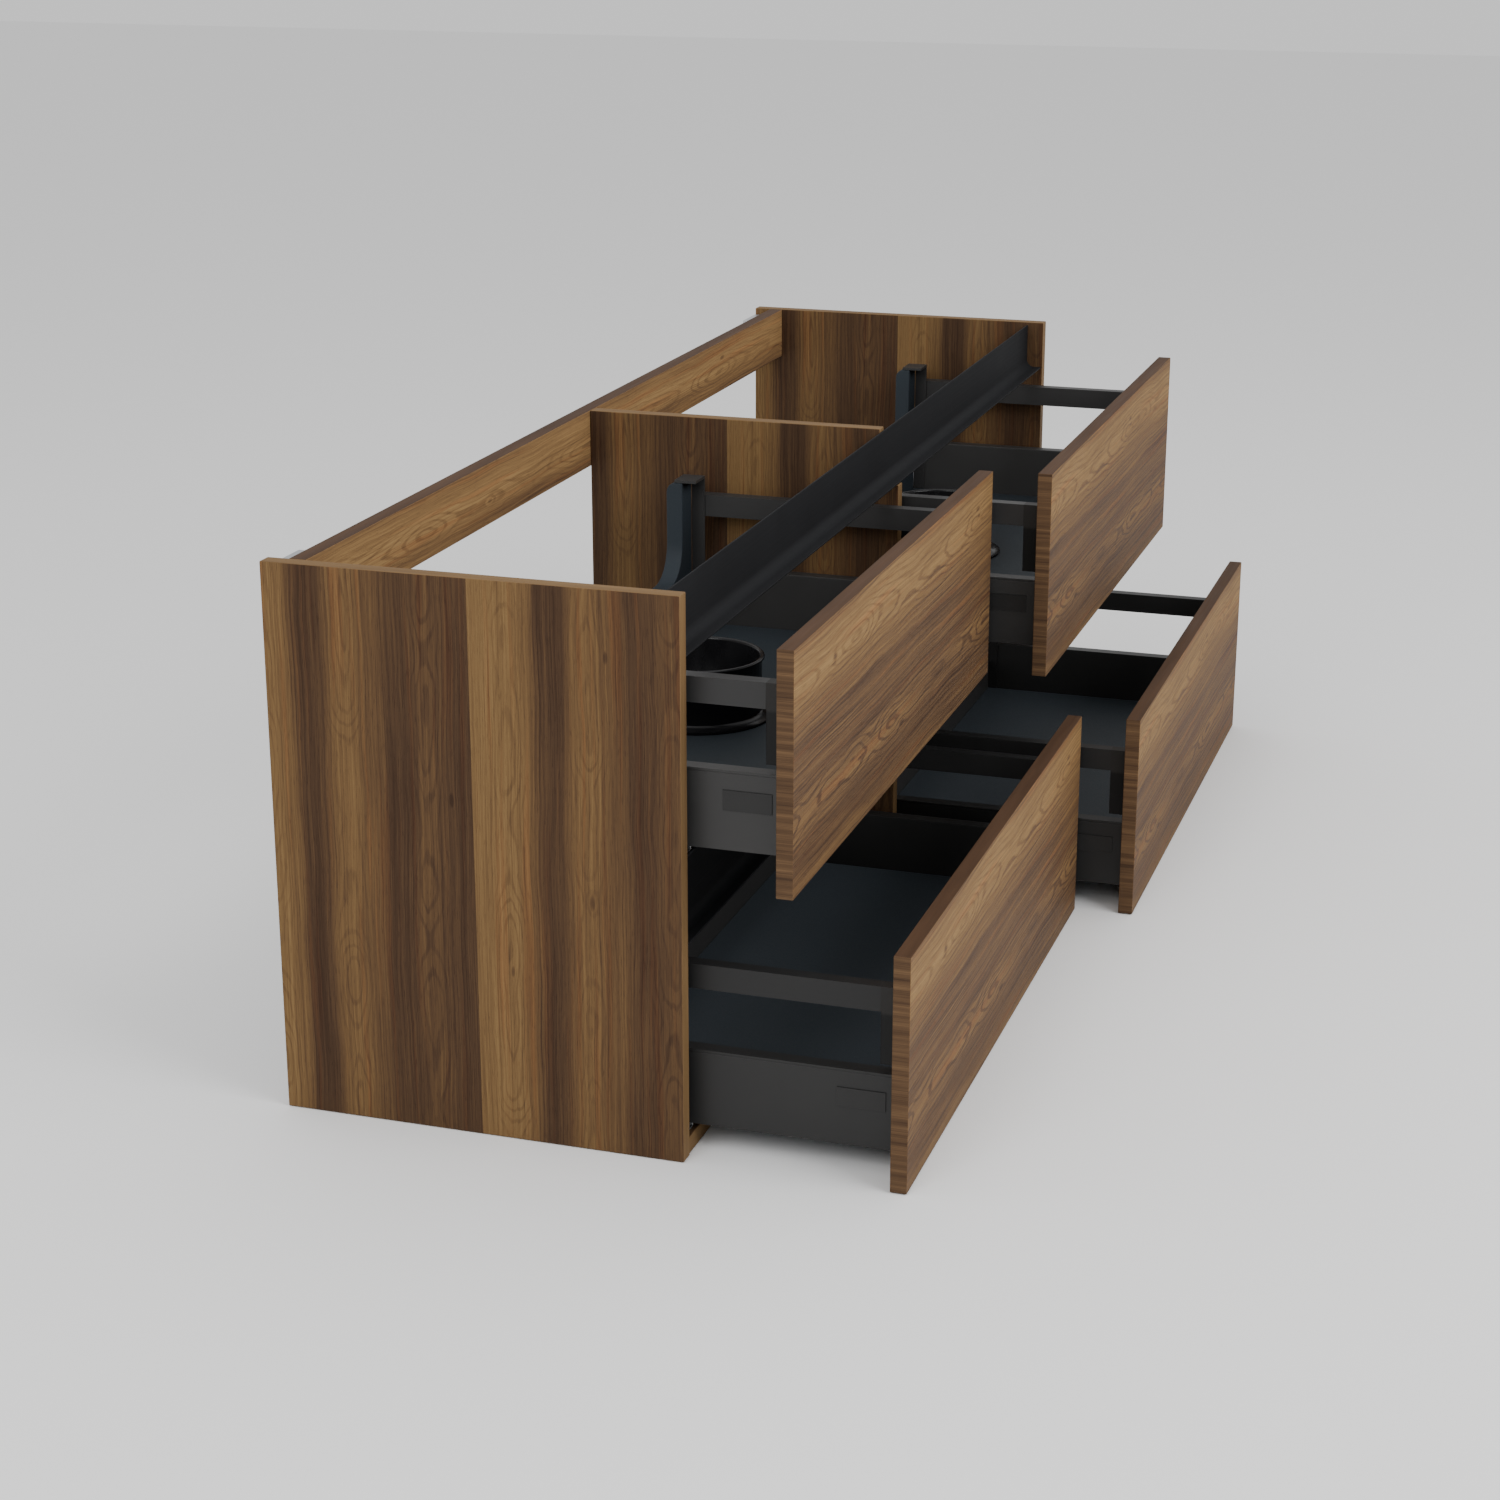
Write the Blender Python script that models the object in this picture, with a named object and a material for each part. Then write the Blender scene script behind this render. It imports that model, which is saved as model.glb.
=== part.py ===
"""Wall-hung double vanity base: an open carcass of walnut board with four steel-sided drawers.

Metres, +Z up. The origin is the centre of the carcass's underside and the drawers open towards -Y.
Each drawer stands part-way open, by its own amount.
"""
import math

import bmesh
import bpy
from mathutils import Vector

# Carcass of 16 mm board
WIDTH = 1.400
DEPTH = 0.378
HEIGHT = 0.507
BOARD = 0.016
GAP = 0.0003
REAR_INSET = 0.020
RAIL_HEIGHT = 0.060
FRONT_SETBACK = 0.001

# Black grip profiles that run across the carcass front
SHEET = 0.0017
WEB_DEPTH = 0.0212
LIP_FRONT = 0.0018
GRIP_RADIUS = 0.0095
GRIP_TOP = 0.5037
GRIP_BOTTOM = 0.4499
CHANNEL_BOTTOM = 0.1943
CHANNEL_TOP = 0.2757
NOTCH_DEPTH = 0.022
NOTCH_MARGIN = 0.0008
ARC_STEPS = 6

# Drawer fronts
FRONT_THICKNESS = 0.015
FRONT_HEIGHT = 0.2156
MIDDLE_JOINT = 0.0026

# Drawer boxes, measured from the cabinet's inner face and from the back of the drawer front
SIDE_OFFSET = 0.0135
SIDE_WIDTH = 0.015
SIDE_HEIGHT = 0.0712
SIDE_SHEET = 0.0012
BOX_LENGTH = 0.300
FLOOR_BOTTOM = 0.0035
FLOOR_TOP = 0.0115
GALLERY_WIDTH = 0.0147
GALLERY_TOP = 0.1505
GALLERY_HEIGHT = 0.0226
CONNECTOR_LENGTH = 0.018
CONNECTOR_BOTTOM = 0.0797
BRACKET_START = 0.2855
BRACKET_SHEET = 0.0012
BRACKET_TAB_INSET = 0.002
CAP_END = 0.309
CAP_THICKNESS = 0.0028
TALL_BACK_TOP = 0.1682
TALL_BACK_THICKNESS = 0.018
UPRIGHT_WIDTH = 0.030
SADDLE_HEIGHT = 0.0663
SADDLE_RADIUS = 0.038
BACK_ROUNDING = 0.010
LOW_BACK_TOP = 0.0475
LOW_BACK_THICKNESS = 0.003

# Round cup in the middle of each upper drawer
CUP_RADIUS = 0.0625
CUP_FLANGE_RADIUS = 0.070
CUP_HEIGHT = 0.0597
CUP_DEPTH_POSITION = 0.187
RIM_RADIUS = 0.0025
CUP_FLOOR = 0.0035
CUP_WALL_INSET = 0.0027
CUP_FLANGE_THICKNESS = 0.0022
CUP_FILLET_WIDTH = 0.003
CUP_FILLET_LOW = 0.003
CUP_FILLET_HIGH = 0.006
CUP_INNER_FILLET = 0.004
RIM_UNDERCUT = 0.0015
CUP_SEGMENTS = 48

# Runners below the drawer sides
RUNNER_START = 0.003
RUNNER_LENGTH = 0.290
RUNNER_SHEET = 0.0012
RUNNER_HEIGHT = 0.026
RUNNER_LEG = 0.0039
RUNNER_HEAD = 0.009
RUNNER_REACH = 0.0043
SLIDE_START = 0.004
SLIDE_LENGTH = 0.270
SLIDE_CLEARANCE = 0.0006
SLIDE_SIDE_GAP = 0.0015
SLIDE_BOTTOM = -0.001
SLIDE_TOP = 0.014

# Rows and columns of drawers
ROW_BASE = {"upper": 0.2807, "lower": 0.0237}
FRONT_BOTTOM = {"upper": 0.2542, "lower": 0.0004}
COLUMN_SIGN = {"left": -1, "right": 1}
OPENED_BY = {
    ("upper", "left"): 0.0825,
    ("upper", "right"): 0.1438,
    ("lower", "left"): 0.1843,
    ("lower", "right"): 0.2454,
}

FRONT_Y = -DEPTH / 2
REAR_Y = DEPTH / 2
INNER_X = WIDTH / 2 - BOARD
RAIL_FRONT_Y = REAR_Y - REAR_INSET - BOARD
CELL_WIDTH = INNER_X - BOARD / 2
CELL_CENTRE = (INNER_X + BOARD / 2) / 2


def clear_scene():
    for item in list(bpy.data.objects):
        bpy.data.objects.remove(item, do_unlink=True)


def make_material(name, colour, roughness, metallic=0.0):
    material = bpy.data.materials.new(name)
    material.use_nodes = True
    shader = material.node_tree.nodes["Principled BSDF"]
    shader.inputs["Base Color"].default_value = (*colour, 1.0)
    shader.inputs["Roughness"].default_value = roughness
    shader.inputs["Metallic"].default_value = metallic
    return material


def add_object(name, shape, material, parent=None):
    mesh = bpy.data.meshes.new(name)
    bmesh.ops.recalc_face_normals(shape, faces=shape.faces)
    shape.to_mesh(mesh)
    shape.free()
    mesh.materials.append(material)
    piece = bpy.data.objects.new(name, mesh)
    piece.parent = parent
    bpy.context.collection.objects.link(piece)
    return piece


def add_empty(name, location):
    empty = bpy.data.objects.new(name, None)
    empty.location = location
    bpy.context.collection.objects.link(empty)
    return empty


def block(low, high):
    """A rectangular block between two corners."""
    low = Vector(low)
    high = Vector(high)
    shape = bmesh.new()
    bmesh.ops.create_cube(shape, size=1.0)
    for vertex in shape.verts:
        for axis in range(3):
            vertex.co[axis] = high[axis] if vertex.co[axis] > 0 else low[axis]
    return shape


def prism(outline, place, start, end):
    """Extrude a closed outline; place turns (u, v, w) into x, y, z with w along the extrusion."""
    shape = bmesh.new()
    first = [shape.verts.new(place(u, v, start)) for u, v in outline]
    face = shape.faces.new(first)
    moved = bmesh.ops.extrude_face_region(shape, geom=[face])["geom"]
    step = Vector(place(0, 0, end)) - Vector(place(0, 0, start))
    verts = [item for item in moved if isinstance(item, bmesh.types.BMVert)]
    bmesh.ops.translate(shape, verts=verts, vec=step)
    return shape


def along_x(u, v, w):
    return (w, u, v)


def along_y(u, v, w):
    return (u, w, v)


def mirrored(outline, side):
    """The outline as seen in the cell, with u measured inwards from the cabinet's inner face."""
    return [(side * (CELL_WIDTH / 2 - u), v) for u, v in outline]


def arc(centre, radius, start, end, steps=ARC_STEPS):
    points = []
    for step in range(steps + 1):
        angle = math.radians(start + (end - start) * step / steps)
        points.append((centre[0] + radius * math.cos(angle), centre[1] + radius * math.sin(angle)))
    return points


def cut(piece, low, high):
    """Take a rectangular notch out of a piece."""
    cutter = add_object(piece.name + "_notch", block(low, high), piece.data.materials[0])
    cutter.hide_render = True
    cutter.display_type = "WIRE"
    notch = piece.modifiers.new("Notch", "BOOLEAN")
    notch.operation = "DIFFERENCE"
    notch.solver = "EXACT"
    notch.object = cutter


def weld_on(piece, low, high):
    """Join an overlapping block to a piece, as one solid."""
    addition = add_object(piece.name + "_addition", block(low, high), piece.data.materials[0], piece.parent)
    union = piece.modifiers.new("Union", "BOOLEAN")
    union.operation = "UNION"
    union.solver = "EXACT"
    union.object = addition
    bpy.context.view_layer.update()
    evaluated = piece.evaluated_get(bpy.context.evaluated_depsgraph_get())
    joined = bpy.data.meshes.new_from_object(evaluated)
    piece.modifiers.remove(union)
    piece.data = joined
    bpy.data.objects.remove(addition, do_unlink=True)


def build_boards(board):
    """Side panels, centre divider, bottom panel and the back rail."""
    for name, sign in COLUMN_SIGN.items():
        near = sign * INNER_X
        far = sign * WIDTH / 2
        panel = block((min(near, far), FRONT_Y, 0), (max(near, far), REAR_Y, HEIGHT))
        add_object(f"side_panel_{name}", panel, board)
    reach = INNER_X - GAP
    rail_back_y = RAIL_FRONT_Y + BOARD
    bottom = block((-reach, FRONT_Y + FRONT_SETBACK, 0), (reach, rail_back_y, BOARD))
    add_object("bottom_panel", bottom, board)
    rail = block((-reach, RAIL_FRONT_Y, HEIGHT - RAIL_HEIGHT), (reach, rail_back_y, HEIGHT))
    add_object("back_rail", rail, board)
    front = FRONT_Y + FRONT_SETBACK
    low = (-BOARD / 2, front, BOARD + GAP)
    divider = add_object("centre_divider", block(low, (BOARD / 2, RAIL_FRONT_Y - GAP, HEIGHT)), board)
    margin = 0.002
    notch_front = FRONT_Y - margin
    notch_back = FRONT_Y + NOTCH_DEPTH
    grip_low = GRIP_BOTTOM - NOTCH_MARGIN
    channel_low = CHANNEL_BOTTOM - NOTCH_MARGIN
    channel_high = CHANNEL_TOP + NOTCH_MARGIN
    wide = BOARD / 2 + margin
    cut(divider, (-wide, notch_front, grip_low), (wide, notch_back, HEIGHT + margin))
    cut(divider, (-wide, notch_front, channel_low), (wide, notch_back, channel_high))


def lip_arc(centre_y, centre_z, radius, start, end):
    return arc((FRONT_Y + centre_y, centre_z), radius, start, end)


def build_grips(black):
    """The J-shaped top grip and the C-shaped grip between the rows, bent round into their lips."""
    reach = INNER_X - GAP
    outer = GRIP_RADIUS + SHEET
    centre = WEB_DEPTH - outer
    lip = FRONT_Y + LIP_FRONT
    web_back = FRONT_Y + WEB_DEPTH
    web_front = web_back - SHEET

    grip = [(web_front, GRIP_TOP), (web_back, GRIP_TOP)]
    grip += lip_arc(centre, GRIP_BOTTOM + outer, outer, 0, -90)
    grip += [(lip, GRIP_BOTTOM), (lip, GRIP_BOTTOM + SHEET)]
    grip += lip_arc(centre, GRIP_BOTTOM + outer, GRIP_RADIUS, -90, 0)
    add_object("top_grip_profile", prism(grip, along_x, -reach, reach), black)

    channel = lip_arc(centre, CHANNEL_TOP - outer, outer, 90, 0)
    channel += lip_arc(centre, CHANNEL_BOTTOM + outer, outer, 0, -90)
    channel += [(lip, CHANNEL_BOTTOM), (lip, CHANNEL_BOTTOM + SHEET)]
    channel += lip_arc(centre, CHANNEL_BOTTOM + outer, GRIP_RADIUS, -90, 0)
    channel += lip_arc(centre, CHANNEL_TOP - outer, GRIP_RADIUS, 0, 90)
    channel += [(lip, CHANNEL_TOP - SHEET), (lip, CHANNEL_TOP)]
    add_object("middle_grip_profile", prism(channel, along_x, -reach, reach), black)


def build_hangers(steel):
    """Cabinet hangers behind the back rail: a plate on the rail with a hook turned down at the wall."""
    plate_width = 0.050
    plate_thickness = 0.004
    hook_reach = 0.0185
    hook_drop = 0.012
    plate_bottom = 0.452
    plate_top = 0.500
    inset = 0.006
    plate_y = RAIL_FRONT_Y + BOARD + GAP
    hook_y = plate_y + hook_reach
    hook = [
        (plate_y, plate_bottom),
        (plate_y, plate_top),
        (hook_y, plate_top),
        (hook_y, plate_top - hook_drop),
        (hook_y - plate_thickness, plate_top - hook_drop),
        (hook_y - plate_thickness, plate_top - plate_thickness),
        (plate_y + plate_thickness, plate_top - plate_thickness),
        (plate_y + plate_thickness, plate_bottom),
    ]
    for name, sign in COLUMN_SIGN.items():
        outer = sign * (INNER_X - inset)
        inner = sign * (INNER_X - inset - plate_width)
        add_object(f"wall_hanger_{name}", prism(hook, along_x, min(outer, inner), max(outer, inner)), steel)


def build_side(name, side, material, parent):
    """Double-walled drawer side: a folded steel cover, open below, that hides the runner."""
    outer = SIDE_OFFSET
    inner = SIDE_OFFSET + SIDE_WIDTH
    cover = [
        (outer, 0),
        (outer, SIDE_HEIGHT),
        (inner, SIDE_HEIGHT),
        (inner, 0),
        (inner - SIDE_SHEET, 0),
        (inner - SIDE_SHEET, SIDE_HEIGHT - SIDE_SHEET),
        (outer + SIDE_SHEET, SIDE_HEIGHT - SIDE_SHEET),
        (outer + SIDE_SHEET, 0),
    ]
    add_object(name, prism(mirrored(cover, side), along_y, GAP, BOX_LENGTH - GAP), material, parent)


def build_floor(name, length, material, parent):
    reach = CELL_WIDTH / 2 - SIDE_OFFSET - SIDE_WIDTH - GAP
    floor = block((-reach, GAP, FLOOR_BOTTOM), (reach, length - GAP, FLOOR_TOP))
    add_object(name, floor, material, parent)


def build_tall_back(name, material, parent):
    """U-shaped back: two uprights and a low saddle that leaves room for a basin trap."""
    reach = CELL_WIDTH / 2 - SIDE_OFFSET - SIDE_WIDTH - GAP
    inner = reach - UPRIGHT_WIDTH
    saddle_end = inner - SADDLE_RADIUS
    saddle_centre = SADDLE_HEIGHT + SADDLE_RADIUS
    outline = [(-reach, FLOOR_BOTTOM), (reach, FLOOR_BOTTOM), (reach, TALL_BACK_TOP), (inner, TALL_BACK_TOP)]
    outline += arc((saddle_end, saddle_centre), SADDLE_RADIUS, 0, -90)
    outline += arc((-saddle_end, saddle_centre), SADDLE_RADIUS, -90, -180)
    outline += [(-inner, TALL_BACK_TOP), (-reach, TALL_BACK_TOP)]
    rear = BOX_LENGTH + TALL_BACK_THICKNESS
    shape = prism(outline, along_y, BOX_LENGTH + GAP, rear)
    top_edges = [
        edge for edge in shape.edges
        if all(v.co.z > TALL_BACK_TOP - GAP and v.co.y > rear - GAP for v in edge.verts)
    ]
    bmesh.ops.bevel(shape, geom=top_edges, offset=BACK_ROUNDING, segments=4, profile=0.5, affect="EDGES")
    add_object(name, shape, material, parent)


def build_low_back(name, material, parent):
    reach = CELL_WIDTH / 2 - SIDE_OFFSET - SIDE_WIDTH - GAP
    start = BOX_LENGTH - LOW_BACK_THICKNESS
    plate = block((-reach, start, FLOOR_BOTTOM), (reach, BOX_LENGTH - GAP, LOW_BACK_TOP))
    add_object(name, plate, material, parent)


def build_gallery(name, side, tall, material, parent):
    """Gallery rail with its connector at the drawer front and the sheet bracket that holds its rear end."""
    bottom = GALLERY_TOP - GALLERY_HEIGHT
    end = BOX_LENGTH - GAP
    profile = [
        (GAP, CONNECTOR_BOTTOM),
        (CONNECTOR_LENGTH, CONNECTOR_BOTTOM),
        (CONNECTOR_LENGTH, bottom),
        (end, bottom),
        (end, GALLERY_TOP),
        (GAP, GALLERY_TOP),
    ]
    outer = side * (CELL_WIDTH / 2 - SIDE_OFFSET)
    inner = side * (CELL_WIDTH / 2 - SIDE_OFFSET - GALLERY_WIDTH)
    shape = prism(profile, along_x, min(outer, inner), max(outer, inner))
    rail = add_object(name, shape, material, parent)

    sheet_start = SIDE_OFFSET + SIDE_WIDTH + GAP
    sheet_end = sheet_start + BRACKET_SHEET
    sheet_top = TALL_BACK_TOP + GAP + CAP_THICKNESS if tall else GALLERY_TOP + CAP_THICKNESS
    sheet_rear = end if tall else BOX_LENGTH - LOW_BACK_THICKNESS - GAP
    low, high = span(side, sheet_start, sheet_end)
    weld_on(rail, (low, BRACKET_START, FLOOR_TOP + GAP), (high, sheet_rear, sheet_top))
    inset = BRACKET_TAB_INSET
    low, high = span(side, sheet_start - inset, sheet_start + BRACKET_SHEET / 2)
    tab_low = (low, BRACKET_START + inset, bottom + inset)
    weld_on(rail, tab_low, (high, sheet_rear - inset, GALLERY_TOP - inset))
    if tall:
        low, high = span(side, sheet_start, sheet_start + UPRIGHT_WIDTH)
        weld_on(rail, (low, BRACKET_START, sheet_top - CAP_THICKNESS), (high, CAP_END, sheet_top))


def span(side, start, end):
    """The low and high x of a stretch measured inwards from the cabinet's inner face."""
    ends = [side * (CELL_WIDTH / 2 - start), side * (CELL_WIDTH / 2 - end)]
    return min(ends), max(ends)


def build_cup(name, material, parent):
    """Open cup turned about its own axis, with a rolled rim and a flat foot flange."""
    rim_centre = CUP_RADIUS - RIM_RADIUS
    rim_z = CUP_HEIGHT - RIM_RADIUS
    wall = CUP_RADIUS - CUP_WALL_INSET
    inner = CUP_RADIUS - 2 * RIM_RADIUS
    outline = [(0, 0), (CUP_FLANGE_RADIUS, 0), (CUP_FLANGE_RADIUS, CUP_FLANGE_THICKNESS)]
    outline += [(wall + CUP_FILLET_WIDTH, CUP_FILLET_LOW), (wall, CUP_FILLET_HIGH)]
    outline += [(wall, rim_z - RIM_UNDERCUT)]
    outline += arc((rim_centre, rim_z), RIM_RADIUS, 0, 180)
    fillet = CUP_INNER_FILLET
    outline += [(inner, CUP_FLOOR + fillet), (inner - fillet, CUP_FLOOR), (0, CUP_FLOOR)]
    base = FLOOR_TOP + GAP
    shape = bmesh.new()
    verts = [shape.verts.new((radius, CUP_DEPTH_POSITION, base + z)) for radius, z in outline]
    edges = [shape.edges.new(pair) for pair in zip(verts, verts[1:])]
    bmesh.ops.spin(
        shape,
        geom=verts + edges,
        cent=(0, CUP_DEPTH_POSITION, 0),
        axis=(0, 0, 1),
        angle=math.tau,
        steps=CUP_SEGMENTS,
        use_merge=True,
    )
    bmesh.ops.remove_doubles(shape, verts=shape.verts, dist=0.00001)
    cup = add_object(name, shape, material, parent)
    cup.data.shade_smooth()
    cup.data.set_sharp_from_angle(angle=math.radians(40))


def build_runner(row, column, side_name, side, steel):
    """Cabinet rail screwed to the carcass, and the member that follows the drawer at half its travel."""
    base = ROW_BASE[row]
    centre = COLUMN_SIGN[column] * CELL_CENTRE
    carcass = add_empty(f"{row}_{column}_runner_{side_name}_seat", (centre, FRONT_Y, base))
    leg_top = -RUNNER_LEG + RUNNER_SHEET
    head = SIDE_OFFSET + RUNNER_REACH
    rail = [
        (GAP, -RUNNER_LEG),
        (head, -RUNNER_LEG),
        (head, RUNNER_HEAD),
        (head - RUNNER_SHEET, RUNNER_HEAD),
        (head - RUNNER_SHEET, leg_top),
        (GAP + RUNNER_SHEET, leg_top),
        (GAP + RUNNER_SHEET, RUNNER_HEIGHT),
        (GAP, RUNNER_HEIGHT),
    ]
    shape = prism(mirrored(rail, side), along_y, RUNNER_START, RUNNER_START + RUNNER_LENGTH)
    add_object(f"{row}_{column}_cabinet_runner_{side_name}", shape, steel, carcass)

    half_way = -OPENED_BY[row, column] / 2
    follower = add_empty(f"{row}_{column}_slide_{side_name}_axis", (centre, FRONT_Y + half_way, base))
    near = head + SLIDE_CLEARANCE
    far = SIDE_OFFSET + SIDE_WIDTH - SIDE_SHEET - SLIDE_SIDE_GAP
    low = SLIDE_BOTTOM
    high = SLIDE_TOP
    slide = [
        (near, low),
        (far, low),
        (far, high),
        (near, high),
        (near, high - RUNNER_SHEET),
        (far - RUNNER_SHEET, high - RUNNER_SHEET),
        (far - RUNNER_SHEET, low + RUNNER_SHEET),
        (near, low + RUNNER_SHEET),
    ]
    shape = prism(mirrored(slide, side), along_y, SLIDE_START, SLIDE_START + SLIDE_LENGTH)
    add_object(f"{row}_{column}_slide_{side_name}", shape, steel, follower)


def build_drawer(row, column, materials):
    name = f"{row}_{column}"
    sign = COLUMN_SIGN[column]
    tall = row == "upper"
    seat = (sign * CELL_CENTRE, FRONT_Y - OPENED_BY[row, column], ROW_BASE[row])
    drawer = add_empty(f"{name}_drawer_axis", seat)

    outer = WIDTH / 2 - CELL_CENTRE
    inner = CELL_CENTRE - MIDDLE_JOINT / 2
    low_x, high_x = (-outer, inner) if column == "left" else (-inner, outer)
    bottom = FRONT_BOTTOM[row] - ROW_BASE[row]
    front = block((low_x, -FRONT_THICKNESS, bottom), (high_x, 0, bottom + FRONT_HEIGHT))
    add_object(f"{name}_front", front, materials["board"], drawer)

    floor_length = BOX_LENGTH if tall else BOX_LENGTH - LOW_BACK_THICKNESS
    build_floor(f"{name}_floor", floor_length, materials["floor"], drawer)
    if tall:
        build_tall_back(f"{name}_back", materials["floor"], drawer)
        build_cup(f"{name}_cup", materials["cup"], drawer)
    else:
        build_low_back(f"{name}_back", materials["side"], drawer)
    for side_name, side in COLUMN_SIGN.items():
        build_side(f"{name}_side_{side_name}", side, materials["side"], drawer)
        build_gallery(f"{name}_gallery_{side_name}", side, tall, materials["side"], drawer)
        build_runner(row, column, side_name, side, materials["steel"])


clear_scene()
MATERIALS = {
    "board": make_material("walnut_board", (0.19, 0.10, 0.045), 0.55),
    "grip": make_material("black_aluminium", (0.012, 0.012, 0.013), 0.45, 0.3),
    "side": make_material("anthracite_steel", (0.030, 0.031, 0.034), 0.4, 0.3),
    "floor": make_material("blue_grey_board", (0.020, 0.026, 0.033), 0.6),
    "cup": make_material("black_gloss_plastic", (0.006, 0.006, 0.007), 0.15),
    "steel": make_material("galvanised_steel", (0.55, 0.56, 0.58), 0.35, 1.0),
}
build_boards(MATERIALS["board"])
build_grips(MATERIALS["grip"])
build_hangers(MATERIALS["steel"])
for row_name, column_name in OPENED_BY:
    build_drawer(row_name, column_name, MATERIALS)
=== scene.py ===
import math

import bpy
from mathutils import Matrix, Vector


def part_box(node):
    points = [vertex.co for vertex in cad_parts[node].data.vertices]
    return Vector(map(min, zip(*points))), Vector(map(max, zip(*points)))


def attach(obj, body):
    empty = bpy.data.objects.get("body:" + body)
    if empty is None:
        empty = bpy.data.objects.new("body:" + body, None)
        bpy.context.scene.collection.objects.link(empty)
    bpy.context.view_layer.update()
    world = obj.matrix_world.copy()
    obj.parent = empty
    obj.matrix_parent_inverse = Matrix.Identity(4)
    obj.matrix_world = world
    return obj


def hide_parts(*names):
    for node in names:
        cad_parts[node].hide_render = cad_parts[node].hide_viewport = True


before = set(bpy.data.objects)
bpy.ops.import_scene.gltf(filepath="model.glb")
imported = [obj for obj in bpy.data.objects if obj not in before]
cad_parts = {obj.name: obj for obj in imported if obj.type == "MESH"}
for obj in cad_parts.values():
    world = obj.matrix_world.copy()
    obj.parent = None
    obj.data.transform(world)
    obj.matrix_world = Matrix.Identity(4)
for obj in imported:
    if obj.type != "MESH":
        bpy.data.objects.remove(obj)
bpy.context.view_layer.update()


# ---------------------------------------------------------------- room and camera
# A plain pale floor with soft studio light from large panels, and a long lens that looks
# down on the cabinet from beyond its left end.

FLOOR_SIZE = 24
FLOOR_DROP = 0.0006
bpy.ops.object.select_all(action="DESELECT")
bpy.ops.mesh.primitive_plane_add(size=FLOOR_SIZE, location=(0, 0, -FLOOR_DROP))
floor = bpy.context.object
floor.name = "studio_floor"
floor_paint = bpy.data.materials.new("pale_floor")
floor_paint.use_nodes = True
floor_shader = floor_paint.node_tree.nodes["Principled BSDF"]
floor_shader.inputs["Base Color"].default_value = (0.90, 0.90, 0.90, 1)
floor_shader.inputs["Roughness"].default_value = 0.9
floor_shader.inputs["Specular IOR Level"].default_value = 0.1
floor.data.materials.append(floor_paint)

world = bpy.data.worlds.new("studio_air")
world.use_nodes = True
world.node_tree.nodes["Background"].inputs["Color"].default_value = (1, 1, 1, 1)
world.node_tree.nodes["Background"].inputs["Strength"].default_value = 0.84
bpy.context.scene.world = world


def light_panel(name, location, target, width, height, power):
    """A soft box: a large area lamp turned towards a point."""
    bpy.ops.object.light_add(type="AREA", location=location)
    lamp = bpy.context.object
    lamp.name = name
    lamp.data.shape = "RECTANGLE"
    lamp.data.size = width
    lamp.data.size_y = height
    lamp.data.energy = power
    lamp.rotation_euler = (Vector(target) - Vector(location)).to_track_quat("-Z", "Y").to_euler()


light_panel("key_panel", (-1.2, -3.4, 2.6), (0, -0.2, 0.25), 2.6, 1.8, 100)
light_panel("end_panel", (-3.4, 0.3, 2.5), (-0.2, 0, 0.3), 1.8, 1.8, 44)
light_panel("top_panel", (0.2, 0.2, 3.4), (0, 0, 0.3), 3.0, 2.0, 12)

CAMERA_PLACE = (-2.8085, -0.9279, 1.1056)
CAMERA_TILT = 71.910
CAMERA_TURN = -72.156
CAMERA_LENS = 68.37
bpy.ops.object.camera_add(location=CAMERA_PLACE)
camera = bpy.context.object
camera.rotation_euler = (math.radians(CAMERA_TILT), 0, math.radians(CAMERA_TURN))
camera.data.lens = CAMERA_LENS
camera.data.sensor_width = 36
camera.data.clip_end = 60
bpy.context.scene.camera = camera


# ---------------------------------------------------------------- side panels and divider
# 16 mm chipboard faced with walnut decor, grain upright, with a lighter band glued round the
# edges. The two panels are mirror images; the divider stands between them in the middle.

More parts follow.
